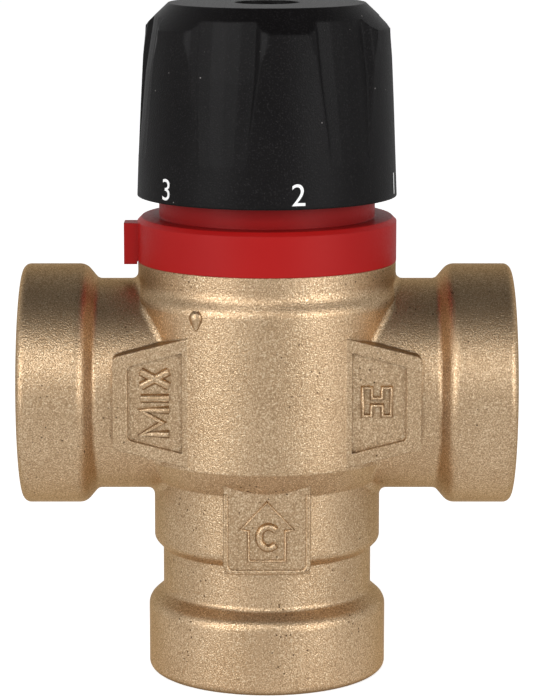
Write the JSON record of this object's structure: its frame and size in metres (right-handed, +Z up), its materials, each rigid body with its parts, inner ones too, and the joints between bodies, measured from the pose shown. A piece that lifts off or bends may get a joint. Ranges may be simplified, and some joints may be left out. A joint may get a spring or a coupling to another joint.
{
  "type": "thermostatic mixing valve",
  "caption": "Brass three-way thermostatic mixing valve with threaded side and bottom ports and a numbered temperature knob over a coloured pointer collar.",
  "frame": {"origin": "centre of the bottom (cold) port's end face", "axes": "+Z up along the knob's axis, +X out of the hot port, -X out of the mixed-water port, -Y towards the side with the raised pads"},
  "size_m": [0.07, 0.039, 0.0966],
  "materials": {
    "forged_brass": "shot-blasted",
    "turned_brass": "machined",
    "knob_plastic": "fine grain",
    "collar_plastic": "satin",
    "cage_plastic": "smooth",
    "seal_rubber": "smooth",
    "spring_steel": "drawn",
    "screw_steel": "zinc plated",
    "element_copper": "drawn"
  },
  "bodies": {
    "casting": {"valve_body": "forged_brass", "bonnet": "turned_brass", "bonnet_o_ring": "seal_rubber", "flow_cage": "cage_plastic", "marker_collar": "collar_plastic", "thrust_washer": "cage_plastic"},
    "knob_set": {"knob": "knob_plastic", "knob_screw": "screw_steel", "screw_washer": "screw_steel", "spindle": "turned_brass", "spindle_o_ring_lower": "seal_rubber", "spindle_o_ring_upper": "seal_rubber", "spindle_clip": "spring_steel"},
    "carrier_set": {"adjusting_carrier": "turned_brass", "carrier_circlip": "spring_steel", "overtravel_spring": "spring_steel"},
    "element_set": {"sensor_body": "element_copper", "overtravel_cap": "turned_brass"},
    "piston_set": {"piston": "cage_plastic", "piston_o_ring": "seal_rubber", "sensor_pin": "spring_steel", "return_spring": "spring_steel"}
  },
  "joints": [
    {"name": "knob_turn", "type": "hinge", "parent": "casting", "child": "knob_set", "pos_m": [0, 0, 0.07], "axis": [0, 0, 1], "range_deg": [-166.6, 148.4]},
    {"name": "carrier_slide", "type": "slide", "parent": "casting", "child": "carrier_set", "axis": [0, 0, 1], "range_m": [-0.00095, 0.00085]},
    {"name": "overtravel", "type": "slide", "parent": "carrier_set", "child": "element_set", "axis": [0, 0, 1], "range_m": [0, 0.0015], "stiffness_N_per_m": 8000, "springref_m": -0.003, "deforming": ["overtravel_spring"]},
    {"name": "piston_slide", "type": "slide", "parent": "casting", "child": "piston_set", "axis": [0, 0, 1], "range_m": [-0.001, 0.001], "stiffness_N_per_m": 3000, "deforming": ["return_spring"]}
  ],
  "couplings": [
    {"joint": "carrier_slide", "follows": "knob_turn", "m_per_rad": 0.00031831}
  ]
}
